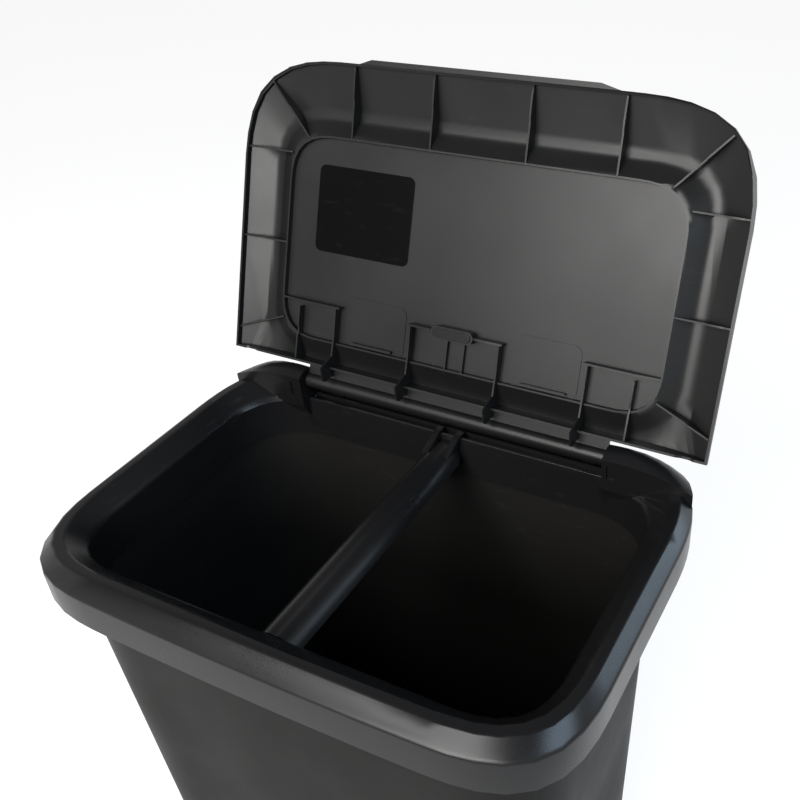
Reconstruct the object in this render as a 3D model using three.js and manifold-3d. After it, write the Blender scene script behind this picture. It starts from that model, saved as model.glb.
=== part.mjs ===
// A double recycling bin: one tapered body, a moulded collar on its rim, a lift-out rail that
// parts the mouth into two halves, and one lid over both, hinged between two ears of the collar.
// Millimetres, +Z up. The origin is on the flat underside, +X is the bin's right side
// and the front faces -Y. The lid stands open on its stops.
import * as THREE from "three";
import { mergeVertices, toCreasedNormals } from "three/addons/utils/BufferGeometryUtils.js";
import Module from "manifold-3d";

const wasm = await Module();
wasm.setup();

// ---- Driving dimensions ----

const CREST_HEIGHT = 600; // floor to the collar's crest
const FIT_GAP = 0.3; // between pieces that rest on each other

const BASE_WIDTH = 467.6; // body at the floor
const BASE_FRONT = -158.4;
const BASE_REAR = 131.2;
const SIDE_RAKE = 0.0287; // outward lean of each wall, per mm of height
const FRONT_RAKE = 0.0179;
const REAR_RAKE = 0.0387;
const BODY_WALL = 2.5;
const FLOOR_THICKNESS = 3.5;
const BODY_FRONT_CORNER = [71, 65]; // at the floor
const BODY_REAR_CORNER = 122;
const REAR_CORNER_TAPER = 0.05; // rounding lost per mm of height
const BODY_POWER = 2.67; // of the superellipse corners
const BODY_REAR_POWER = 2.51;
const BASE_EDGE = 6; // rounding between walls and underside
const BODY_LIP = 9; // outward flange under the collar
const BODY_LIP_DROP = 12; // flange below the body's top edge
const BODY_LIP_THICKNESS = 3;

const COLLAR_WIDTH = 554;
const COLLAR_FRONT = -187.7;
const COLLAR_REAR = 176.5;
const COLLAR_FRONT_CORNER = [124, 120];
const COLLAR_REAR_CORNER = [67, 116];
const COLLAR_POWER = 3.28; // of the superellipse corners in front
const COLLAR_REAR_POWER = 2.72;
const THROAT_INSET = 38.6; // of the throat wall, from the collar's sides
const THROAT_REAR_CORNER = 87; // width of the rear corners there
const SKIRT_BOW = 6.2; // the front edge's bulge at its middle
const CREST_BOW = 4;
const THROAT_BOW = 1.5;
const SKIRT_HEIGHT = 47.6; // skirt's lower edge below the crest
const SHOULDER_DROP = 12.4; // top of the skirt below the crest
const COLLAR_WALL = 2.5;
const INNER_EDGE_DROP = 14.4; // inner edge of the sloping band below the crest
const THROAT_DEPTH = 60; // lower edge of the throat wall below the crest
const THROAT_REAR = COLLAR_REAR - 29; // top of the throat's rear wall
const SEAT_DROP = 22; // step that rests on the body's top edge, below the crest
const SEAT_WIDTH = 7;
const CHANNEL_FLOOR = SEAT_DROP - COLLAR_WALL;

const AXIS_Y = 152; // hinge axis
const AXIS_ABOVE_CREST = 8;
const BARREL_RADIUS = 8;
const BARREL_HALF = 176.4;
const PIN_RADIUS = 3;
const PIN_CLEARANCE = 0.3;
const PIN_HEAD_RADIUS = 5.2;
const PIN_HEAD = 2;
const PIN_DEPTH = 22; // length of the pin inside the barrel

const EAR_INNER = 177.2; // inner cheek of each ear, from the middle
const EAR_AHEAD = 16.5; // ear's front face, ahead of the hinge axis
const EAR_CHEEK = 6;
const EAR_WALL = 3;
const EAR_FOOT = 17.5; // bottom of the ears outside the throat, below the crest
const CHANNEL_REAR = 15; // behind the hinge axis
const RIB_BEHIND = 7.5; // second ledge rib, behind the hinge axis
const RIB_THICKNESS = 1.5;
const RIB_TOP = 14; // below the crest
const BRIDGE_WALL = 3;
const BRIDGE_TOP = 6; // below the crest, within the bevel's wall
const STOP_WIDTH = 16;
const STOP_OFFSET = 152; // middle of each stop pad from the middle of the bin

const LID_HALF = 273.2;
const LID_LENGTH = 311.5;
const LID_AHEAD = 19.93; // lid's rear edge ahead of the hinge axis
const RIM_BELOW_AXIS = 10.24;
const LID_POWER = 3.1;
const LID_OPEN = THREE.MathUtils.degToRad(112.2);
const LID_WALL = 2.4;
const LID_CLEARANCE = 0.5; // over the crest when closed
const RIM_DEPTH = 6.5;
const SHELF_DEPTH = 18.7;
const RING_DEPTH = 6.7;
const RING_THICKNESS = 1.8;
const PANEL_DEPTH = 12;
const PANEL_THICKNESS = 2.7;
const GUSSET_THICKNESS = 1.7;
const LIP_REACH = 5; // finger lip beyond the front edge
const LIP_THICKNESS = 2.4;

const RAIL_HALF = 20.7;
const RAIL_TOP = 20; // below the crest
const RAIL_DEPTH = 15.5;
const RAIL_WALL = 2.2;
const RAIL_FRONT = -146;
const RAIL_REAR = 145;
const HOOK_OFFSET = 12; // middle of each hook from the rail's middle
const HOOK_WIDTH = 7;
const HOOK_THICKNESS = 2.4;

const PLATE_SIZE = [115, 89];
const PLATE_CENTRE = [-125, 166.5]; // across the lid, and from its rear edge
const PLATE_THICKNESS = 0.8;
const BADGE_SIZE = [43, 9.6];
const BADGE_CENTRE = [-2, 65.5];
const BADGE_THICKNESS = 1.8;

// ---- Solids and surfaces ----

const FRONT_STEPS = 8;
const CORNER_STEPS = 10;

// A closed mesh as a solid that can be joined and cut.
function solid(geometry) {
  const bare = geometry.clone();
  bare.deleteAttribute("normal");
  bare.deleteAttribute("uv");
  const merged = mergeVertices(bare, 1e-4);
  const mesh = new wasm.Mesh({
    numProp: 3,
    vertProperties: Float32Array.from(merged.attributes.position.array),
    triVerts: Uint32Array.from(merged.index.array),
  });
  return new wasm.Manifold(mesh);
}

function geometryOf(body) {
  const { vertProperties, triVerts } = body.getMesh();
  const geometry = new THREE.BufferGeometry();
  geometry.setAttribute("position", new THREE.BufferAttribute(vertProperties, 3));
  geometry.setIndex(new THREE.BufferAttribute(triVerts, 1));
  return toCreasedNormals(geometry, 0.5);
}

const join = (...bodies) => bodies.flat().reduce((whole, body) => whole.add(body));

// A corner of a superellipse, from its side to its end, about its own centre.
function corner([rx, ry], power, flipX, flipY, backwards) {
  const points = [];
  for (let i = 0; i <= CORNER_STEPS; i++) {
    const angle = (Math.PI / 2) * (backwards ? 1 - i / CORNER_STEPS : i / CORNER_STEPS);
    const [c, s] = [Math.cos(angle), Math.sin(angle)];
    const reach = ((c / rx) ** power + (s / ry) ** power) ** (-1 / power);
    points.push([flipX * reach * c, flipY * reach * s]);
  }
  return points;
}

// A rounded outline seen from above, anticlockwise, always with the same number of points.
function outline({ half, front, rear, frontCorner, rearCorner, power, rearPower = power, bow = 0 }) {
  const flat = half - frontCorner[0];
  const points = [];
  const place = (list, x, y) => list.forEach(([dx, dy]) => points.push([x + dx, y + dy]));
  place(corner(frontCorner, power, -1, -1, false), -flat, front + frontCorner[1]);
  for (let i = 1; i < FRONT_STEPS; i++) points.push([-flat + (2 * flat * i) / FRONT_STEPS, front]);
  place(corner(frontCorner, power, 1, -1, true), flat, front + frontCorner[1]);
  place(corner(rearCorner, rearPower, 1, 1, false), half - rearCorner[0], rear - rearCorner[1]);
  place(corner(rearCorner, rearPower, -1, 1, true), rearCorner[0] - half, rear - rearCorner[1]);
  const middle = (front + rear) / 2;
  return points.map(([x, y]) => {
    const bulge = y < middle ? bow * (1 - (x / half) ** 2) : 0;
    return new THREE.Vector2(x, y - bulge);
  });
}

const ring = (points, z) => points.map((p) => new THREE.Vector3(p.x, p.y, z));
const fromAbove = (p) => new THREE.Vector2(p.x, p.y);
const fromRight = (p) => new THREE.Vector2(p.y, p.z);

// A surface through rings of equally many points, closed on itself or with a flat cap at each end.
function skin(rings, { closed = false, flatten = fromAbove } = {}) {
  const count = rings[0].length;
  const faces = [];
  const bands = closed ? rings.length : rings.length - 1;
  for (let r = 0; r < bands; r++) {
    const [a, b] = [r * count, ((r + 1) % rings.length) * count];
    for (let i = 0; i < count; i++) {
      const j = (i + 1) % count;
      faces.push(a + i, a + j, b + j, a + i, b + j, b + i);
    }
  }
  if (!closed) {
    const last = (rings.length - 1) * count;
    const first = THREE.ShapeUtils.triangulateShape(rings[0].map(flatten), []);
    const final = THREE.ShapeUtils.triangulateShape(rings.at(-1).map(flatten), []);
    first.forEach(([p, q, r]) => faces.push(r, q, p));
    final.forEach(([p, q, r]) => faces.push(last + p, last + q, last + r));
  }
  const geometry = new THREE.BufferGeometry();
  const positions = rings.flat().flatMap((p) => [p.x, p.y, p.z]);
  geometry.setAttribute("position", new THREE.Float32BufferAttribute(positions, 3));
  geometry.setIndex(faces);
  return geometry;
}

// A box between two corners.
function block([x0, y0, z0], [x1, y1, z1]) {
  const box = new THREE.BoxGeometry(x1 - x0, y1 - y0, z1 - z0);
  return solid(box.translate((x0 + x1) / 2, (y0 + y1) / 2, (z0 + z1) / 2));
}

// A flat plate standing on the line from a to b, with its side view given as [along, height].
function standing(a, b, thickness, sideView) {
  const shape = new THREE.Shape(sideView.map(([s, z]) => new THREE.Vector2(s, z)));
  const plate = new THREE.ExtrudeGeometry(shape, { depth: thickness, bevelEnabled: false });
  plate.translate(0, 0, -thickness / 2);
  const along = new THREE.Vector3(b[0] - a[0], b[1] - a[1], 0).normalize();
  const upward = new THREE.Vector3(0, 0, 1);
  const across = along.clone().cross(upward);
  const turn = new THREE.Matrix4().makeBasis(along, upward, across);
  return solid(plate.applyMatrix4(turn.setPosition(a[0], a[1], 0)));
}

// A flat plate lying level, with rounded corners.
function lying([width, depth], [x, y], z, thickness, radius) {
  const [w, d] = [width / 2, depth / 2];
  const shape = new THREE.Shape();
  shape.moveTo(-w + radius, -d);
  shape.lineTo(w - radius, -d).absarc(w - radius, -d + radius, radius, -Math.PI / 2, 0);
  shape.lineTo(w, d - radius).absarc(w - radius, d - radius, radius, 0, Math.PI / 2);
  shape.lineTo(-w + radius, d).absarc(-w + radius, d - radius, radius, Math.PI / 2, Math.PI);
  shape.lineTo(-w, -d + radius).absarc(-w + radius, -d + radius, radius, Math.PI, Math.PI * 1.5);
  const plate = new THREE.ExtrudeGeometry(shape, {
    depth: thickness,
    bevelEnabled: false,
    curveSegments: 5,
  });
  return solid(plate.translate(x, y, z));
}

// A rod along X, centred on the hinge axis of its own frame.
function rod(radius, x0, x1, sides = 24) {
  const cylinder = new THREE.CylinderGeometry(radius, radius, x1 - x0, sides);
  return solid(cylinder.rotateZ(Math.PI / 2).translate((x0 + x1) / 2, 0, 0));
}

function mirrored(geometry) {
  const copy = geometry.clone().scale(-1, 1, 1);
  const index = Array.from(copy.index.array);
  for (let i = 0; i < index.length; i += 3) [index[i], index[i + 1]] = [index[i + 1], index[i]];
  copy.setIndex(index);
  return copy;
}

// ---- Body ----

const COLLAR_HALF = COLLAR_WIDTH / 2;
const BODY_TOP = CREST_HEIGHT - SEAT_DROP - FIT_GAP;

function bodyOutline(height, inset, at = height) {
  const rearRadius = BODY_REAR_CORNER - REAR_CORNER_TAPER * height - inset;
  const points = outline({
    half: BASE_WIDTH / 2 + SIDE_RAKE * height - inset,
    front: BASE_FRONT - FRONT_RAKE * height + inset,
    rear: BASE_REAR + REAR_RAKE * height - inset,
    frontCorner: BODY_FRONT_CORNER.map((radius) => radius + SIDE_RAKE * height - inset),
    rearCorner: [rearRadius, rearRadius],
    power: BODY_POWER,
    rearPower: BODY_REAR_POWER,
  });
  return ring(points, at);
}

function makeBody() {
  const lip = BODY_TOP - BODY_LIP_DROP;
  return solid(
    skin([
      bodyOutline(0, BASE_EDGE * 0.8),
      bodyOutline(BASE_EDGE * 0.25, BASE_EDGE * 0.3),
      bodyOutline(BASE_EDGE, 0),
      bodyOutline(lip - BODY_LIP_THICKNESS, 0),
      bodyOutline(lip - BODY_LIP_THICKNESS + 0.01, -BODY_LIP),
      bodyOutline(lip, -BODY_LIP),
      bodyOutline(lip + 0.01, 0),
      bodyOutline(BODY_TOP, 0),
      bodyOutline(BODY_TOP + 0.01, BODY_WALL),
      bodyOutline(FLOOR_THICKNESS + BASE_EDGE, BODY_WALL),
      bodyOutline(FLOOR_THICKNESS, BODY_WALL + BASE_EDGE * 0.7),
    ]),
  );
}

// ---- Collar ----

// The collar's section: inset at the sides, in front and at the rear, depth below the crest, and
// how far the front edge bulges there.
const COLLAR_SECTION = [
  [0.5, 0, 0.5, SKIRT_HEIGHT, SKIRT_BOW],
  [0, 0.9, 0, SHOULDER_DROP + 2.8, SKIRT_BOW],
  [0.6, 1.6, 0.6, SHOULDER_DROP + 0.4, SKIRT_BOW],
  [2.3, 3.5, 2.3, SHOULDER_DROP - 1.4, SKIRT_BOW],
  [10.2, 13, 10.2, 1, CREST_BOW],
  [12.6, 15.6, 12.4, 0.1, CREST_BOW],
  [19.4, 21.8, 19, 0.2, CREST_BOW],
  [22, 24.4, 20.4, 1.8, CREST_BOW],
  [33.8, 35.4, 28, INNER_EDGE_DROP - 1.4, THROAT_BOW],
  [35.6, 37, 29, INNER_EDGE_DROP, THROAT_BOW],
  [THROAT_INSET, 39.8, 29.6, INNER_EDGE_DROP + 5, 0],
  [41, 42.2, 31, THROAT_DEPTH, 0],
];
const [SHOULDER_ROW, THROAT_ROW] = [2, 10];

function collarOutline(side, front, rear, drop, bow = 0) {
  const [frontX, frontY] = COLLAR_FRONT_CORNER;
  const [rearX, rearY] = COLLAR_REAR_CORNER;
  const towardsThroat = Math.min(side / THROAT_INSET, 1);
  return ring(
    outline({
      half: COLLAR_HALF - side,
      front: COLLAR_FRONT + front,
      rear: COLLAR_REAR - rear,
      frontCorner: [frontX - side, frontY - front],
      rearCorner: [Math.max(rearX - side, THROAT_REAR_CORNER * towardsThroat), rearY - rear],
      power: COLLAR_POWER,
      rearPower: COLLAR_REAR_POWER,
      bow,
    }),
    CREST_HEIGHT - drop,
  );
}

// The visible face, and the same section moved inside by the wall.
function makeCollarShell() {
  const face = COLLAR_SECTION.map((row) => collarOutline(...row));
  const under = COLLAR_SECTION.map(([side, front, rear, drop, bow], i) => {
    const before = COLLAR_SECTION[Math.max(i - 1, 0)];
    const after = COLLAR_SECTION[Math.min(i + 1, COLLAR_SECTION.length - 1)];
    const run = after[0] - before[0];
    const fall = after[3] - before[3];
    const length = Math.hypot(run, fall);
    const inward = (-fall / length) * COLLAR_WALL;
    const down = (run / length) * COLLAR_WALL;
    const level = i === 0 || i === COLLAR_SECTION.length - 1 ? 0 : down;
    return collarOutline(side + inward, front + inward, rear + inward, drop + level, bow);
  });
  return solid(skin([...face, ...under.reverse()], { closed: true }));
}

// Everything under the visible face from the shoulder to the throat, raised by a little.
function collarForm(rise) {
  const rows = COLLAR_SECTION.slice(SHOULDER_ROW, THROAT_ROW + 1);
  const top = rows.map(([side, front, rear, drop, bow]) =>
    collarOutline(side, front, rear, drop - rise, bow),
  );
  const [[side, front, rear, , bow], inner] = [rows[0], rows.at(-1)];
  const under = [
    collarOutline(inner[0], inner[1], inner[2], SKIRT_HEIGHT),
    collarOutline(side, front, rear, SKIRT_HEIGHT, bow),
  ];
  return skin([...top, ...under], { closed: true });
}

// The step under the sloping band that sits on the body's top edge all the way round.
function makeSeatStep() {
  const [outer, inner] = [-SEAT_WIDTH / 2 + BODY_WALL / 2, SEAT_WIDTH / 2 + BODY_WALL / 2];
  const [low, high] = [CREST_HEIGHT - SEAT_DROP, CREST_HEIGHT + 1];
  const walls = [
    bodyOutline(BODY_TOP, outer, high),
    bodyOutline(BODY_TOP, inner, high),
    bodyOutline(BODY_TOP, inner, low),
    bodyOutline(BODY_TOP, outer, low),
  ];
  const step = solid(skin(walls, { closed: true }));
  return step.intersect(solid(collarForm(-COLLAR_WALL / 2)));
}

// How far the ear's top falls below its highest stretch, across the bin.
const EAR_ARCH = [
  [EAR_INNER, 0.8],
  [186, 0.2],
  [197, 0],
  [212, 0.9],
  [226, 2.6],
  [237, 4.8],
  [247, 7.8],
  [256, 11],
  [265, 14.6],
  [276, 19.5],
];
const EAR_TOP = 18.2; // front edge's highest point above the crest
const EAR_ROLL_FROM = 205; // from here out the crown also rolls down behind its front edge
const EAR_ROLL = 150; // how steeply

// The ear seen from the side, at a drop below its highest stretch: a crown behind a flat face.
function earSide(x, drop, wall) {
  const face = AXIS_Y - EAR_AHEAD + wall;
  const crown = [
    [0, EAR_TOP],
    [6, EAR_TOP + 3.1],
    [13, EAR_TOP + 4.9],
    [20, EAR_TOP + 4.3],
    [27, EAR_TOP - 1],
    [34, EAR_TOP - 8],
    [41, EAR_TOP - 16],
    [48, EAR_TOP - 25],
  ];
  const behindThroat = THROAT_REAR + COLLAR_WALL + 0.4;
  const foot = -EAR_FOOT;
  const solidFoot = [
    [face, -INNER_EDGE_DROP - 5],
    [face + 11.6, -INNER_EDGE_DROP - 26],
    [behindThroat - 1, -INNER_EDGE_DROP - 26],
    [behindThroat - 1, foot],
    [face + 48, foot],
  ];
  const openFoot = [
    [face, -10],
    [behindThroat, -10],
    [behindThroat, foot - 8],
    [face + 44, foot - 8],
  ];
  const rolled = EAR_ROLL * Math.max(0, (Math.abs(x) - EAR_ROLL_FROM) / EAR_ROLL_FROM) ** 2;
  const top = crown.map(([y, z]) => {
    const height = Math.max(z - drop - wall - rolled * Math.min(y / 20, 1), foot + 0.5);
    return [face + y * (1 - wall / 24), height];
  });
  const points = [...(wall > 0 ? openFoot : solidFoot), ...top.reverse()];
  return points.map(([y, z]) => new THREE.Vector3(x, y, CREST_HEIGHT + z));
}

function makeEar(wall) {
  const last = EAR_ARCH.length - 1;
  const stations = EAR_ARCH.map(([x, drop], i) => {
    const inset = i === 0 && wall > 0 ? EAR_CHEEK : 0;
    const outset = i === last && wall > 0 ? 3 * wall : 0;
    return earSide(x + inset - outset, drop, wall);
  });
  return skin(stations, { flatten: fromRight });
}

function bothSides(geometry) {
  return join(solid(geometry), solid(mirrored(geometry)));
}

function makeCollar() {
  const axisZ = CREST_HEIGHT + AXIS_ABOVE_CREST;
  const rearHalf = EAR_INNER;
  const channelTop = CREST_HEIGHT + 60;
  const channelFloor = CREST_HEIGHT - CHANNEL_FLOOR;
  const channelFront = THROAT_REAR + COLLAR_WALL - 0.3;
  const channelRear = AXIS_Y + CHANNEL_REAR;

  // tall prisms inside the skirt's outline, which trim the ears and their hollows
  const envelope = (inset) => {
    const base = collarOutline(inset, inset, inset, THROAT_DEPTH + 10);
    return solid(skin([base, collarOutline(inset, inset, inset, -60)]));
  };
  const earFoot = block([-COLLAR_HALF, -200, 0], [COLLAR_HALF, 200, CREST_HEIGHT - EAR_FOOT]);
  const [throatSide, throatFront, throatRear] = COLLAR_SECTION[THROAT_ROW];
  const throat = (drop) => collarOutline(throatSide, throatFront, throatRear, drop);
  const insideThroat = solid(skin([throat(THROAT_DEPTH), throat(0)]));
  const blank = bothSides(makeEar(0));
  const ears = join(
    blank.intersect(envelope(1)).subtract(earFoot),
    blank.intersect(insideThroat),
  );
  const hollows = bothSides(makeEar(EAR_WALL)).intersect(envelope(1 + EAR_WALL));
  const shell = makeCollarShell();
  const bay = block([-rearHalf, channelFront, channelFloor], [rearHalf, channelRear, channelTop]);
  const ledge = block(
    [-rearHalf, THROAT_REAR - 2, CREST_HEIGHT - RIB_TOP],
    [rearHalf, channelRear, channelTop],
  );
  const bridge = block(
    [-rearHalf - 1, channelRear, CREST_HEIGHT - SKIRT_HEIGHT + 4],
    [rearHalf + 1, channelRear + BRIDGE_WALL, CREST_HEIGHT - BRIDGE_TOP],
  );
  const deck = block(
    [-rearHalf - 1, channelFront - 1, channelFloor - COLLAR_WALL],
    [rearHalf + 1, channelRear + 1, channelFloor],
  );
  const ribY = AXIS_Y + RIB_BEHIND;
  const rib = block(
    [-rearHalf, ribY, channelFloor - 1],
    [rearHalf, ribY + RIB_THICKNESS, CREST_HEIGHT - RIB_TOP],
  );
  const railFoot = CREST_HEIGHT - RAIL_TOP - RAIL_DEPTH - FIT_GAP;
  const seat = block(
    [-RAIL_HALF - 2, RAIL_FRONT - 2.5, railFoot - 3],
    [RAIL_HALF + 2, RAIL_FRONT + 8, railFoot],
  );
  const notch = (side) =>
    block(
      [Math.min(side * 182, side * 191), AXIS_Y - EAR_AHEAD - 4, CREST_HEIGHT - 5],
      [Math.max(side * 182, side * 191), AXIS_Y - EAR_AHEAD + 2, CREST_HEIGHT + 11],
    );

  const rim = shell.add(makeSeatStep()).subtract(bay).subtract(ledge);
  let collar = join(rim, ears).subtract(hollows);
  collar = join(collar, bridge, deck, rib, seat, makeStops());
  collar = collar.subtract(join(notch(1), notch(-1)));
  const bore = rod(PIN_RADIUS + PIN_CLEARANCE, -EAR_INNER - EAR_CHEEK - 1, EAR_INNER + EAR_CHEEK + 1, 16);
  return collar.subtract(bore.translate([0, AXIS_Y, axisZ]));
}

// Pads on the rear bridge that the open lid leans on, their tops along the open lid's rear edge.
function makeStops() {
  const lean = LID_OPEN - Math.PI / 2;
  const axisZ = CREST_HEIGHT + AXIS_ABOVE_CREST;
  const face = (back) => {
    const reach = LID_AHEAD - FIT_GAP;
    return axisZ + (reach - back * Math.sin(lean)) / Math.cos(lean);
  };
  const [near, far] = [13, CHANNEL_REAR + BRIDGE_WALL];
  const sideView = [
    [near, CREST_HEIGHT - 14],
    [CHANNEL_REAR, CREST_HEIGHT - 24],
    [far, CREST_HEIGHT - 24],
    [far, face(far)],
    [near, face(near)],
  ];
  return [-STOP_OFFSET, STOP_OFFSET].map((x) =>
    standing([x, AXIS_Y], [x, AXIS_Y + 1], STOP_WIDTH, sideView),
  );
}

// ---- Lid, made closed about the hinge axis ----

const fromEdge = (v) => -LID_AHEAD - v; // distance from the lid's rear edge, as Y
const fromRim = (w) => w - RIM_BELOW_AXIS; // depth into the lid from the rim's plane, as Z

const RIM = { side: 0, front: 0, rear: -40, rx: 132, rearX: 6, rearY: 6 };
const SHELF_OUTER = { side: 25.9, front: 42.5, rear: -2, rx: 84, rearX: 84, rearY: 50 };
const SHELF_INNER = { side: 37, front: 53.1, rear: 6, rx: 68, rearX: 70, rearY: 65 };
const RING = { side: 55.65, front: 71.5, rear: 26.2, rx: 61.5, rearX: 50, rearY: 50 };

function between(a, b, t) {
  const mixed = Object.keys(a).map((key) => [key, THREE.MathUtils.lerp(a[key], b[key], t)]);
  return Object.fromEntries(mixed);
}

const inside = ({ side, front, rear, rx, rearX, rearY }, by) => ({
  side: side + by,
  front: front + by,
  rear: rear + by,
  rx: rx - by,
  rearX: Math.max(rearX - by, 3),
  rearY: Math.max(rearY - by, 3),
});

function lidRing(section, depth) {
  const points = outline({
    half: LID_HALF - section.side,
    front: fromEdge(LID_LENGTH - section.front),
    rear: fromEdge(section.rear),
    frontCorner: [section.rx, section.rx * 0.92],
    rearCorner: [section.rearX, section.rearY],
    power: LID_POWER,
    rearPower: 2.8,
  });
  return ring(points, fromRim(depth));
}

const LID_OUTSIDE = [
  [RIM, 0],
  [RIM, 5.2],
  [inside(RIM, 1.4), 8.9],
  [between(inside(RIM, 1.4), inside(SHELF_OUTER, -1.4), 0.5), 15.4],
  [inside(SHELF_OUTER, -1.6), 20.6],
  [inside(SHELF_OUTER, 1.4), 21.4],
  [inside(SHELF_INNER, -0.6), 21.2],
  [inside(SHELF_INNER, 2), 20.4],
  [between(SHELF_INNER, RING, 0.6), 17.2],
  [inside(RING, -2.6), PANEL_DEPTH + PANEL_THICKNESS + 0.6],
  [inside(RING, -0.4), PANEL_DEPTH + PANEL_THICKNESS],
];

const LID_INSIDE = [
  [inside(RIM, LID_WALL), -3],
  [inside(RIM, LID_WALL), RIM_DEPTH],
  [SHELF_OUTER, SHELF_DEPTH],
  [SHELF_INNER, SHELF_DEPTH - 0.5],
  [between(SHELF_INNER, RING, 0.25), 15.9],
  [between(SHELF_INNER, RING, 0.5), 13],
  [between(SHELF_INNER, RING, 0.75), 9.9],
  [RING, RING_DEPTH],
  [inside(RING, RING_THICKNESS), RING_DEPTH],
  [inside(RING, RING_THICKNESS + 0.5), PANEL_DEPTH],
];

// A thin wall inside the lid from one plan point to another, its free edge given as
// [share of the way, depth]; it reaches up into the lid's roof, where the outside trims it.
function lidFin(a, b, edge, thickness = GUSSET_THICKNESS) {
  const [from, to] = [a, b].map(([u, v]) => [u, fromEdge(v)]);
  const length = Math.hypot(to[0] - from[0], to[1] - from[1]);
  const free = edge.map(([share, depth]) => [share * length, fromRim(depth)]);
  return standing(from, to, thickness, [...free, [length, fromRim(24)], [0, fromRim(24)]]);
}

// Gussets run from the rim to the ring, with a small step where each passes over the crest.
const GUSSET_EDGE = [
  [0.005, 2],
  [0.42, 3.4],
  [0.46, 4.9],
  [0.96, RING_DEPTH - 0.4],
  [1, RING_DEPTH],
];
const GUSSETS = [
  [[52, 310], [52, 239.5]],
  [[143.5, 309], [143.5, 238]],
  [[243, 286], [196, 235.5]],
  [[271, 219], [216.5, 219]],
  [[271, 125], [217, 125]],
  [[270, 23], [215, 44]],
];

// Posts stand across the rear band, between the ledges and the hinge flange.
const NOTCHED_EDGE = [
  [0, 3.6],
  [0.35, 3.2],
  [0.4, 4.6],
  [0.5, 4.6],
  [0.55, 3],
  [0.9, 2.4],
  [1, 2.4],
];
const CLAW_POSTS = [51, 144.5]; // from the lid's middle, each with a claw
const POSTS = [
  { u: 192, v: 60, edge: NOTCHED_EDGE },
  { u: CLAW_POSTS[1], v: 66, edge: [[0, 2.2], [0.5, 2.8], [0.93, 1.2], [1, 0]] },
  { u: CLAW_POSTS[0], v: 66, edge: [[0, 1.2], [0.5, 2.4], [0.93, 1.2], [1, 0]] },
];

// Claws on the inner posts hang past the rear edge, in front of the barrel.
function claw(u) {
  const sideView = [
    [fromEdge(14), fromRim(1)],
    [fromEdge(2.8), fromRim(-16.3)],
    [fromEdge(-12), fromRim(-10.6)],
    [fromEdge(-13), fromRim(-5)],
    [fromEdge(-9), fromRim(2)],
    [fromEdge(-9), fromRim(9.2)],
    [fromEdge(14), fromRim(9.2)],
  ];
  return standing([u, 0], [u, 1], GUSSET_THICKNESS, sideView);
}

function makeLidFins() {
  const fins = [];
  for (const side of [1, -1]) {
    const flip = ([u, v]) => [side * u, v];
    GUSSETS.forEach(([a, b]) => fins.push(lidFin(flip(a), flip(b), GUSSET_EDGE)));
    POSTS.forEach(({ u, v, edge }) => fins.push(lidFin([side * u, v], [side * u, 1], edge)));
    fins.push(lidFin([side * 140, 66.5], [side * 216, 66.5], [[0, 2.2], [0.7, 2.2], [1, 6]], 2));
    fins.push(lidFin([side * 9.8, 57.5], [side * 9.8, 23.7], [[0, 8], [1, 8]]));
  }
  const arch = [
    [0, 1.2],
    [0.14, 0.2],
    [0.24, -0.6],
    [0.26, 1],
    [0.71, 1],
    [0.73, -0.6],
    [0.86, 0.2],
    [1, 1.2],
  ];
  fins.push(lidFin([-54, 66.5], [54, 66.5], arch, 2));
  return fins;
}

function makeLidDetails() {
  const details = [];
  const panel = fromRim(PANEL_DEPTH);
  for (const side of [1, -1]) {
    details.push(lying([73, 54], [side * 98.5, fromEdge(53)], panel - 0.7, 2, 9));
    details.push(lying([50, 2.6], [side * 100, fromEdge(31)], panel - 5, 6, 1));
    details.push(lying([62, 2.4], [side * 100, fromEdge(26.6)], panel - 3, 4, 1));
  }
  const [x, v] = BADGE_CENTRE;
  const size = [BADGE_SIZE[0] + 5, BADGE_SIZE[1] + 3];
  const seat = BADGE_THICKNESS + FIT_GAP - 1.4;
  details.push(lying(size, [x, fromEdge(v)], fromRim(seat), PANEL_DEPTH - seat + 1, 6));
  return details;
}

function makeFingerLip() {
  const shape = new THREE.Shape();
  const edge = fromEdge(LID_LENGTH);
  shape.moveTo(-142, edge + 1).lineTo(-125, edge - LIP_REACH).lineTo(117, edge - LIP_REACH);
  shape.lineTo(142, edge + 1);
  const plate = new THREE.ExtrudeGeometry(shape, { depth: LIP_THICKNESS, bevelEnabled: false });
  return solid(plate.translate(0, 0, fromRim(2.6)));
}

// The collar's crest as the closed lid meets it, a little proud, so that the rim clears it.
function crestRelief() {
  const axisZ = CREST_HEIGHT + AXIS_ABOVE_CREST;
  return solid(collarForm(LID_CLEARANCE).translate(0, -AXIS_Y, -axisZ));
}

function makeLid() {
  const outside = solid(skin(LID_OUTSIDE.map(([section, depth]) => lidRing(section, depth))));
  const recess = solid(skin(LID_INSIDE.map(([section, depth]) => lidRing(section, depth))));
  const wide = LID_HALF + 10;
  const behind = (v) => block([-wide, fromEdge(v), -40], [wide, 80, 60]);
  const form = outside.subtract(behind(0));
  const shell = form.subtract(recess.subtract(behind(LID_WALL)));
  const fins = join(makeLidFins()).intersect(form);
  const claws = CLAW_POSTS.flatMap((u) => [claw(u), claw(-u)]);
  const flange = block([-BARREL_HALF, -LID_AHEAD - 1, -1.5], [BARREL_HALF, 0, 1.5]);
  const barrel = rod(BARREL_RADIUS, -BARREL_HALF, BARREL_HALF);
  const bores = [-1, 1].map((side) => {
    const [a, b] = [side * (BARREL_HALF - PIN_DEPTH - 1), side * (BARREL_HALF + 1)];
    return rod(PIN_RADIUS + PIN_CLEARANCE, Math.min(a, b), Math.max(a, b), 16);
  });
  const lid = join(shell, fins, makeLidDetails(), claws, makeFingerLip(), flange, barrel);
  return lid.subtract(join(bores)).subtract(crestRelief());
}

// ---- Small pieces ----

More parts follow.
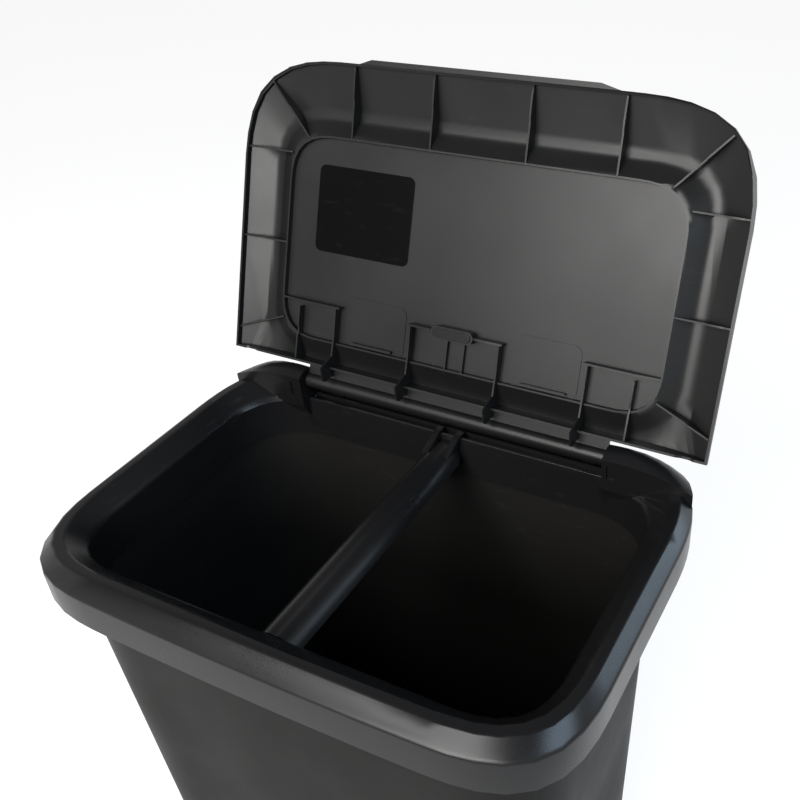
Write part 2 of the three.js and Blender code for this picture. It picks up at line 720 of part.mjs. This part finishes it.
// Printed plate on the panel inside the lid, left bare.
function makePlate() {
  const [u, v] = PLATE_CENTRE;
  const under = fromRim(PANEL_DEPTH) - FIT_GAP - PLATE_THICKNESS;
  return lying(PLATE_SIZE, [u, fromEdge(v)], under, PLATE_THICKNESS, 7);
}

function makeBadge() {
  const [u, v] = BADGE_CENTRE;
  return lying(BADGE_SIZE, [u, fromEdge(v)], fromRim(-1.4), BADGE_THICKNESS, BADGE_SIZE[1] / 2 - 0.01);
}

// Hinge pin: a round shank with a head inside the ear's cheek.
function makePin(side) {
  const inner = BARREL_HALF - PIN_DEPTH;
  const outer = EAR_INNER + EAR_CHEEK + FIT_GAP;
  const profile = [
    [0, inner],
    [PIN_RADIUS - 0.6, inner],
    [PIN_RADIUS, inner + 1],
    [PIN_RADIUS, outer],
    [PIN_HEAD_RADIUS, outer],
    [PIN_HEAD_RADIUS, outer + PIN_HEAD],
    [0, outer + PIN_HEAD],
  ].map(([r, h]) => new THREE.Vector2(r, h));
  const lathe = new THREE.LatheGeometry(profile, 16);
  return solid(lathe.rotateZ((-side * Math.PI) / 2));
}

// ---- Divider rail ----

// The rail's back is an inverted trough with a soft crease along its middle.
function railHeight(x, wall) {
  const half = RAIL_HALF - wall;
  const fall = (RAIL_DEPTH + 0.01) * Math.abs(x / half) ** 3.2;
  const crease = 0.9 * Math.exp(-((x / 3) ** 2));
  return CREST_HEIGHT - RAIL_TOP - wall - fall - crease;
}

function railSection(y, squeeze) {
  const steps = 20;
  const foot = CREST_HEIGHT - RAIL_TOP - RAIL_DEPTH;
  const arc = (wall) => {
    const half = RAIL_HALF - wall;
    return Array.from({ length: steps + 1 }, (_, i) => {
      const x = half * Math.sin((Math.PI / 2) * ((2 * i) / steps - 1));
      return [x * squeeze, Math.max(railHeight(x, wall), foot)];
    });
  };
  const points = [...arc(0), ...arc(RAIL_WALL).reverse()];
  return points.map(([x, z]) => new THREE.Vector3(x, y, z));
}

function makeRail() {
  const fromFront = (p) => new THREE.Vector2(p.z, p.x);
  const stations = [
    railSection(RAIL_FRONT, 1),
    railSection(RAIL_REAR - 14, 1),
    railSection(RAIL_REAR, 0.72),
  ];
  const trough = solid(skin(stations, { flatten: fromFront }));
  const ledge = THROAT_REAR;
  const over = CREST_HEIGHT - RIB_TOP + FIT_GAP;
  const sideView = [
    [RAIL_REAR - 26, CREST_HEIGHT - RAIL_TOP - 1.2],
    [RAIL_REAR - 4, CREST_HEIGHT - RAIL_TOP - 1.2],
    [ledge - 1.4, over - 3],
    [ledge - 1.4, over],
    [ledge + 6.6, over],
    [ledge + 6.6, over - 4.2],
    [ledge + 8.6, over - 4.2],
    [ledge + 8.6, over + HOOK_THICKNESS],
    [ledge - 3.5, over + HOOK_THICKNESS],
  ];
  const hooks = [-HOOK_OFFSET, HOOK_OFFSET].map((x) =>
    standing([x, 0], [x, 1], HOOK_WIDTH, sideView),
  );
  return join(trough, hooks);
}

// ---- Assembly ----

const FINISH = {
  body: { color: 0x2e2d2c, roughness: 0.55, metalness: 0 },
  collar: { color: 0x1b1b1c, roughness: 0.42, metalness: 0 },
  lid: { color: 0x252525, roughness: 0.45, metalness: 0 },
  rail: { color: 0x1c1c1e, roughness: 0.4, metalness: 0 },
  plate: { color: 0x101011, roughness: 0.2, metalness: 0 },
  pin: { color: 0x3a3a3c, roughness: 0.5, metalness: 0 },
};

function piece(name, body, finish) {
  const mesh = new THREE.Mesh(geometryOf(body), new THREE.MeshStandardMaterial(FINISH[finish]));
  mesh.name = name;
  return mesh;
}

const bin = new THREE.Group();
bin.add(piece("bin_body", makeBody(), "body"));
bin.add(piece("rim_collar", makeCollar(), "collar"));
bin.add(piece("divider_rail", makeRail(), "rail"));

const hinge = new THREE.Group();
hinge.position.set(0, AXIS_Y, CREST_HEIGHT + AXIS_ABOVE_CREST);
hinge.add(piece("hinge_pin_left", makePin(-1), "pin"));
hinge.add(piece("hinge_pin_right", makePin(1), "pin"));
bin.add(hinge);

const lid = new THREE.Group();
lid.rotation.x = -LID_OPEN;
lid.add(piece("lid_shell", makeLid(), "lid"));
lid.add(piece("instruction_plate", makePlate(), "plate"));
lid.add(piece("ledge_badge", makeBadge(), "plate"));
hinge.add(lid);

export default bin;
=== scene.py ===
from math import radians

import bmesh
import bpy
from mathutils import Matrix, Vector


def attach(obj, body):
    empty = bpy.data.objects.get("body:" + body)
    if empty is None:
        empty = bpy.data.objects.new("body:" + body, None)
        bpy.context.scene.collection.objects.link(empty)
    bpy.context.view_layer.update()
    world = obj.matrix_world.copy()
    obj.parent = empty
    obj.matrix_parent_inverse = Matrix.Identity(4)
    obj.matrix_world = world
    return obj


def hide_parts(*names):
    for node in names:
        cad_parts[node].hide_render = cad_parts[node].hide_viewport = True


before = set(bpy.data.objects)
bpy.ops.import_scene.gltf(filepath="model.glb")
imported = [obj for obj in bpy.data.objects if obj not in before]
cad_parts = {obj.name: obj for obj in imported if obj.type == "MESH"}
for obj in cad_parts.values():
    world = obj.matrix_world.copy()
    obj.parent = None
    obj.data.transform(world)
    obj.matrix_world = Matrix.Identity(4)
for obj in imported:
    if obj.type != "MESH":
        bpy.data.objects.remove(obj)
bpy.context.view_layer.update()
scene = bpy.context.scene
scene.view_settings.view_transform = "Standard"

# --- The view: from above the bin's right front, looking down into the open mouth.
# The lens is shifted off its centre, as in a picture that is cut from a wider one.
IMAGE_SIDE = 800
FOCAL_PIXELS = 956.34
LENS_CENTRE = (502.88, 427.52)
SENSOR_WIDTH = 36
NEAREST, FARTHEST = 0.05, 40
VIEW_FROM = Vector((0.44125, -0.52715, 1.17801))
VIEW_AZIMUTH, VIEW_ELEVATION, VIEW_ROLL = radians(29.06), radians(36.11), radians(-3.43)

view = bpy.data.cameras.new("view")
view.sensor_width = SENSOR_WIDTH
view.lens = FOCAL_PIXELS / IMAGE_SIDE * SENSOR_WIDTH
view.shift_x = (IMAGE_SIDE / 2 - LENS_CENTRE[0]) / IMAGE_SIDE
view.shift_y = (LENS_CENTRE[1] - IMAGE_SIDE / 2) / IMAGE_SIDE
view.clip_start, view.clip_end = NEAREST, FARTHEST
viewer = bpy.data.objects.new("view", view)
scene.collection.objects.link(viewer)
turn = (Matrix.Rotation(VIEW_AZIMUTH, 4, "Z") @ Matrix.Rotation(radians(90) - VIEW_ELEVATION, 4, "X")
        @ Matrix.Rotation(VIEW_ROLL, 4, "Z"))
viewer.matrix_world = Matrix.Translation(VIEW_FROM) @ turn
scene.camera = viewer

# --- The studio: a plain pale floor that reads white to the eye, under four soft lamps.
# The strongest stands in front of the bin with a weaker one above it, and two cooler ones stand
# at its right side and right rear. The backdrop is white at the horizon and grey overhead.
FLOOR_REACH = 9
FLOOR_TINT = (0.22, 0.22, 0.22, 1)
FLOOR_ROUGHNESS = 0.9
FLOOR_GLOW = 0.86
WHITE = (1, 1, 1, 1)
WARM_WHITE, COOL_WHITE = (1, 0.985, 0.97), (0.6, 0.8, 1)
LAMP_AIM = Vector((0, 0, 0.62))
LAMP_REACH = 2.6
LAMPS = {  # degrees round from the front to the right, degrees up, width, height, watts, tint
    "front_key": (0, 24, 1.8, 0.9, 110, WARM_WHITE),
    "front_high": (-14, 47, 1.5, 0.8, 60, WARM_WHITE),
    "right_side": (82, 28, 1.2, 1.2, 46, COOL_WHITE),
    "rear_rim": (132, 8, 1.2, 0.8, 20, COOL_WHITE),
}
SKY_STRENGTH = 0.12
HORIZON_WHITE, CEILING_GREY = 1, 0.25
CEILING_FROM, CEILING_TO = 0.4, 0.8

bm = bmesh.new()
bmesh.ops.create_grid(bm, x_segments=1, y_segments=1, size=FLOOR_REACH)
floor_mesh = bpy.data.meshes.new("floor")
bm.to_mesh(floor_mesh)
bm.free()
floor = bpy.data.objects.new("floor", floor_mesh)
scene.collection.objects.link(floor)

floor_paint = bpy.data.materials.new("floor_paint")
floor_paint.use_nodes = True
nodes, links = floor_paint.node_tree.nodes, floor_paint.node_tree.links
shader = nodes["Principled BSDF"]
shader.inputs["Base Color"].default_value = FLOOR_TINT
shader.inputs["Roughness"].default_value = FLOOR_ROUGHNESS
shader.inputs["Emission Color"].default_value = WHITE


def seen_directly(tree):
    """One where a ray comes from the camera, or from a mirror or glass that shows the backdrop."""
    ray = tree.nodes.new("ShaderNodeLightPath")
    total = ray.outputs["Is Camera Ray"]
    for kind in ("Is Glossy Ray", "Is Transmission Ray"):
        either = tree.nodes.new("ShaderNodeMath")
        either.operation = "MAXIMUM"
        tree.links.new(total, either.inputs[0])
        tree.links.new(ray.outputs[kind], either.inputs[1])
        total = either.outputs[0]
    return total


glow = nodes.new("ShaderNodeMath")
glow.operation = "MULTIPLY"
glow.inputs[1].default_value = FLOOR_GLOW
links.new(seen_directly(floor_paint.node_tree), glow.inputs[0])
links.new(glow.outputs[0], shader.inputs["Emission Strength"])
floor.data.materials.append(floor_paint)

for name, (round_by, up_by, width, height, watts, tint) in LAMPS.items():
    lamp = bpy.data.lights.new(name, "AREA")
    lamp.shape, lamp.size, lamp.size_y = "RECTANGLE", width, height
    lamp.energy, lamp.color = watts, tint
    stand = bpy.data.objects.new(name, lamp)
    aside = Matrix.Rotation(radians(round_by), 4, "Z") @ Matrix.Rotation(radians(-up_by), 4, "X")
    stand.location = LAMP_AIM + aside @ Vector((0, -LAMP_REACH, 0))
    stand.rotation_euler = (LAMP_AIM - stand.location).to_track_quat("-Z", "Y").to_euler()
    stand.visible_camera = False
    scene.collection.objects.link(stand)

sky = bpy.data.worlds.new("sky")
sky.use_nodes = True
scene.world = sky
nodes, links = sky.node_tree.nodes, sky.node_tree.links
air = nodes["Background"]
air.inputs["Color"].default_value = WHITE
place = nodes.new("ShaderNodeTexCoord")
direction = nodes.new("ShaderNodeSeparateXYZ")
links.new(place.outputs["Generated"], direction.inputs["Vector"])
backdrop = nodes.new("ShaderNodeMapRange")
backdrop.interpolation_type = "SMOOTHSTEP"
backdrop.inputs["From Min"].default_value = CEILING_FROM
backdrop.inputs["From Max"].default_value = CEILING_TO
backdrop.inputs["To Min"].default_value = HORIZON_WHITE
backdrop.inputs["To Max"].default_value = CEILING_GREY
links.new(direction.outputs["Z"], backdrop.inputs["Value"])
level = nodes.new("ShaderNodeMapRange")
level.inputs["To Min"].default_value = SKY_STRENGTH
links.new(seen_directly(sky.node_tree), level.inputs["Value"])
links.new(backdrop.outputs["Result"], level.inputs["To Max"])
links.new(level.outputs["Result"], air.inputs["Strength"])

# --- The body: a tall tapered shell of injection-moulded polypropylene, open at the top.
# Its tool is lightly spark-eroded, which leaves a fine even grain; it stands flat on the floor.
BODY_BLACK = (0.0065, 0.0063, 0.006, 1)
BODY_ROUGHNESS = (0.4, 0.52)
BODY_GRAIN_DEPTH = 0.00006
BODY_SHEEN = 0.05
BODY_ROUNDING = 0.0008

GRAIN_SIZE, GRAIN_DEPTH = 0.0009, 0.00005
GRAIN_DETAIL, GRAIN_HARSHNESS = 3, 0.6
GRAIN_RELIEF = 0.6
CLOUD_SCALE, CLOUD_DETAIL = 9, 5
GRAIN_IN_CLOUDS = 0.35
CLOUDS_FROM, CLOUDS_TO = 0.45, 0.9
SCUFF_STRETCH = (14, 14, 70)
SCUFF_SCALE, SCUFF_DETAIL = 3, 6
SCUFFS_FROM, SCUFFS_TO = 0.62, 0.8
SCUFF_LIFT = 0.004
MOULDED_SHEEN = 0.2

WELD = 0.00005
FLAT_ANGLE, CRISP_ANGLE = radians(0.5), radians(32)
ROOM_FOR_ROUNDING = 2.1
ROUNDING_STEPS = 2


def moulding_grain():
    """The shared skin of moulded plastic: a fine grain, slow uneven gloss and faint scuffs."""
    group = bpy.data.node_groups.new("moulding_grain", "ShaderNodeTree")
    for name in ("Grain Size", "Roughness Low", "Roughness High"):
        group.interface.new_socket(name, in_out="INPUT", socket_type="NodeSocketFloat")
    for name in ("Height", "Roughness", "Scuffs"):
        group.interface.new_socket(name, in_out="OUTPUT", socket_type="NodeSocketFloat")
    add, link = group.nodes.new, group.links.new
    given, put = add("NodeGroupInput"), add("NodeGroupOutput")
    place = add("ShaderNodeTexCoord")

    pitch = add("ShaderNodeMath")
    pitch.operation, pitch.inputs[0].default_value = "DIVIDE", 1
    grain = add("ShaderNodeTexNoise")
    grain.inputs["Detail"].default_value = GRAIN_DETAIL
    grain.inputs["Roughness"].default_value = GRAIN_HARSHNESS
    link(given.outputs["Grain Size"], pitch.inputs[1])
    link(place.outputs["Object"], grain.inputs["Vector"])
    link(pitch.outputs[0], grain.inputs["Scale"])
    link(grain.outputs["Fac"], put.inputs["Height"])

    cloud = add("ShaderNodeTexNoise")
    cloud.inputs["Scale"].default_value = CLOUD_SCALE
    cloud.inputs["Detail"].default_value = CLOUD_DETAIL
    mixed = add("ShaderNodeMath")
    mixed.operation, mixed.inputs[1].default_value = "MULTIPLY_ADD", GRAIN_IN_CLOUDS
    rough = add("ShaderNodeMapRange")
    rough.inputs["From Min"].default_value = CLOUDS_FROM
    rough.inputs["From Max"].default_value = CLOUDS_TO
    link(place.outputs["Object"], cloud.inputs["Vector"])
    link(grain.outputs["Fac"], mixed.inputs[0])
    link(cloud.outputs["Fac"], mixed.inputs[2])
    link(mixed.outputs[0], rough.inputs["Value"])
    link(given.outputs["Roughness Low"], rough.inputs["To Min"])
    link(given.outputs["Roughness High"], rough.inputs["To Max"])
    link(rough.outputs["Result"], put.inputs["Roughness"])

    stretch = add("ShaderNodeMapping")
    stretch.inputs["Scale"].default_value = SCUFF_STRETCH
    scratches = add("ShaderNodeTexNoise")
    scratches.inputs["Scale"].default_value = SCUFF_SCALE
    scratches.inputs["Detail"].default_value = SCUFF_DETAIL
    faint = add("ShaderNodeMapRange")
    faint.inputs["From Min"].default_value = SCUFFS_FROM
    faint.inputs["From Max"].default_value = SCUFFS_TO
    link(place.outputs["Object"], stretch.inputs["Vector"])
    link(stretch.outputs["Vector"], scratches.inputs["Vector"])
    link(scratches.outputs["Fac"], faint.inputs["Value"])
    link(faint.outputs["Result"], put.inputs["Scuffs"])
    return group


moulded_skin = moulding_grain()


def satin_plastic(name, tint, roughness, grain_size=GRAIN_SIZE, grain_depth=GRAIN_DEPTH,
                  scuff_lift=SCUFF_LIFT, sheen=MOULDED_SHEEN):
    """A moulded black plastic whose gloss, grain and scuffs come from the shared skin."""
    finish = bpy.data.materials.new(name)
    finish.use_nodes = True
    tree = finish.node_tree
    shader = tree.nodes["Principled BSDF"]
    shader.inputs["Specular IOR Level"].default_value = sheen
    skin = tree.nodes.new("ShaderNodeGroup")
    skin.node_tree = moulded_skin
    skin.inputs["Grain Size"].default_value = grain_size
    skin.inputs["Roughness Low"].default_value = roughness[0]
    skin.inputs["Roughness High"].default_value = roughness[1]
    worn = tree.nodes.new("ShaderNodeMix")
    worn.data_type = "RGBA"
    worn.inputs["A"].default_value = tint
    worn.inputs["B"].default_value = tuple(colour + scuff_lift for colour in tint[:3]) + (1,)
    relief = tree.nodes.new("ShaderNodeBump")
    relief.inputs["Strength"].default_value = GRAIN_RELIEF
    relief.inputs["Distance"].default_value = grain_depth
    tree.links.new(skin.outputs["Scuffs"], worn.inputs["Factor"])
    tree.links.new(worn.outputs["Result"], shader.inputs["Base Color"])
    tree.links.new(skin.outputs["Roughness"], shader.inputs["Roughness"])
    tree.links.new(skin.outputs["Height"], relief.inputs["Height"])
    tree.links.new(relief.outputs["Normal"], shader.inputs["Normal"])
    return finish


def soften(bm, width):
    """Rounds the crisp edges that have room for it, as the polished edges of a tool leave them."""
    def roomy(edge):
        room = ROOM_FOR_ROUNDING * width
        return all(near.calc_length() > room for end in edge.verts for near in end.link_edges)

    crisp = [edge for edge in bm.edges if edge.calc_face_angle(0) > CRISP_ANGLE and roomy(edge)]
    bmesh.ops.bevel(bm, geom=crisp, offset=width, offset_type="OFFSET", affect="EDGES",
                    segments=ROUNDING_STEPS, profile=0.5, material=-1, clamp_overlap=True)


def moulding(node, body, finish, rounding):
    """A welded copy of a solid with its crisp edges rounded, standing for that solid."""
    bm = bmesh.new()
    bm.from_mesh(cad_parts[node].data)
    bmesh.ops.remove_doubles(bm, verts=bm.verts, dist=WELD)
    bmesh.ops.dissolve_limit(bm, angle_limit=FLAT_ANGLE, verts=bm.verts, edges=bm.edges)
    soften(bm, rounding)
    for face in bm.faces:
        face.smooth = True
    for edge in bm.edges:
        edge.smooth = edge.calc_face_angle(0) < CRISP_ANGLE
    mesh = bpy.data.meshes.new(node + "_moulding")
    bm.to_mesh(mesh)
    bm.free()
    mesh.materials.append(finish)
    piece = bpy.data.objects.new(node + "_moulding", mesh)
    scene.collection.objects.link(piece)
    flat_faces = piece.modifiers.new("flat_faces", "WEIGHTED_NORMAL")
    flat_faces.keep_sharp = True
    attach(piece, body)
    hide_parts(node)


body_skin = satin_plastic("body_skin", BODY_BLACK, BODY_ROUGHNESS, grain_depth=BODY_GRAIN_DEPTH,
                          sheen=BODY_SHEEN)
moulding("bin_body", "bin", body_skin, BODY_ROUNDING)

# --- The collar: one polypropylene moulding that drops over the body's top edge and carries the
# hinge ears. It is smoother than the body, so its bevel and shoulders take long soft highlights.
COLLAR_BLACK = (0.0045, 0.0045, 0.0048, 1)
COLLAR_ROUGHNESS = (0.24, 0.34)
COLLAR_ROUNDING = 0.0008

collar_skin = satin_plastic("collar_skin", COLLAR_BLACK, COLLAR_ROUGHNESS)
moulding("rim_collar", "bin", collar_skin, COLLAR_ROUNDING)

# --- The hinge pins: two short headed pins of smooth acetal. Each goes from the hollow of its ear
# through the inner cheek into the lid's barrel, and its head stays in the ear.
PIN_BLACK = (0.01, 0.01, 0.0105, 1)
PIN_ROUGHNESS = (0.25, 0.35)
PIN_GRAIN_DEPTH = 0.00002
FINE_GRAIN_SIZE = 0.0004
PIN_ROUNDING = 0.0003

pin_skin = satin_plastic("pin_skin", PIN_BLACK, PIN_ROUGHNESS, FINE_GRAIN_SIZE, PIN_GRAIN_DEPTH)
for side in ("left", "right"):
    moulding("hinge_pin_" + side, "bin", pin_skin, PIN_ROUNDING)

# --- The rail: an upturned channel of moulded plastic that parts the mouth and carries the bags'
# inner edges. It hooks over the rear ledge with two tongues and lifts out for cleaning.
RAIL_BLACK = (0.0045, 0.0045, 0.0048, 1)
RAIL_ROUGHNESS = (0.26, 0.36)
RAIL_ROUNDING = 0.001

rail_skin = satin_plastic("rail_skin", RAIL_BLACK, RAIL_ROUGHNESS)
moulding("divider_rail", "divider", rail_skin, RAIL_ROUNDING)

# --- The lid: one broad polypropylene moulding, seen here from its underside. Its gussets, posts,
# claws and hinge barrel are moulded with it, and it swings on the two pins.
LID_BLACK = (0.0055, 0.0055, 0.0055, 1)
LID_ROUGHNESS = (0.3, 0.42)
LID_ROUNDING = 0.0007

lid_skin = satin_plastic("lid_skin", LID_BLACK, LID_ROUGHNESS)
moulding("lid_shell", "lid", lid_skin, LID_ROUNDING)

# --- The plate inside the lid: a thin plate of glossy black film with rounded corners.
# It is stuck flat on the sunken panel and left bare.
PLATE_BLACK = (0.002, 0.002, 0.0022, 1)
PLATE_ROUGHNESS = (0.2, 0.28)
PLATE_GRAIN_DEPTH = 0.00002
PLATE_SCUFF_LIFT = 0.003
PLATE_SHEEN = 0.03
PLATE_ROUNDING = 0.0002

plate_skin = satin_plastic("plate_skin", PLATE_BLACK, PLATE_ROUGHNESS, grain_depth=PLATE_GRAIN_DEPTH,
                           scuff_lift=PLATE_SCUFF_LIFT, sheen=PLATE_SHEEN)
moulding("instruction_plate", "lid", plate_skin, PLATE_ROUNDING)

# --- The badge: a small oval button of glossy moulded plastic, left bare.
# It stands on an oval seat of the lid's middle ledge.
BADGE_BLACK = (0.006, 0.006, 0.006, 1)
BADGE_ROUGHNESS = (0.2, 0.3)
BADGE_GRAIN_DEPTH = 0.00001
BADGE_SCUFF_LIFT = 0.006
BADGE_ROUNDING = 0.0003

badge_skin = satin_plastic("badge_skin", BADGE_BLACK, BADGE_ROUGHNESS, FINE_GRAIN_SIZE,
                           BADGE_GRAIN_DEPTH, BADGE_SCUFF_LIFT)
moulding("ledge_badge", "lid", badge_skin, BADGE_ROUNDING)
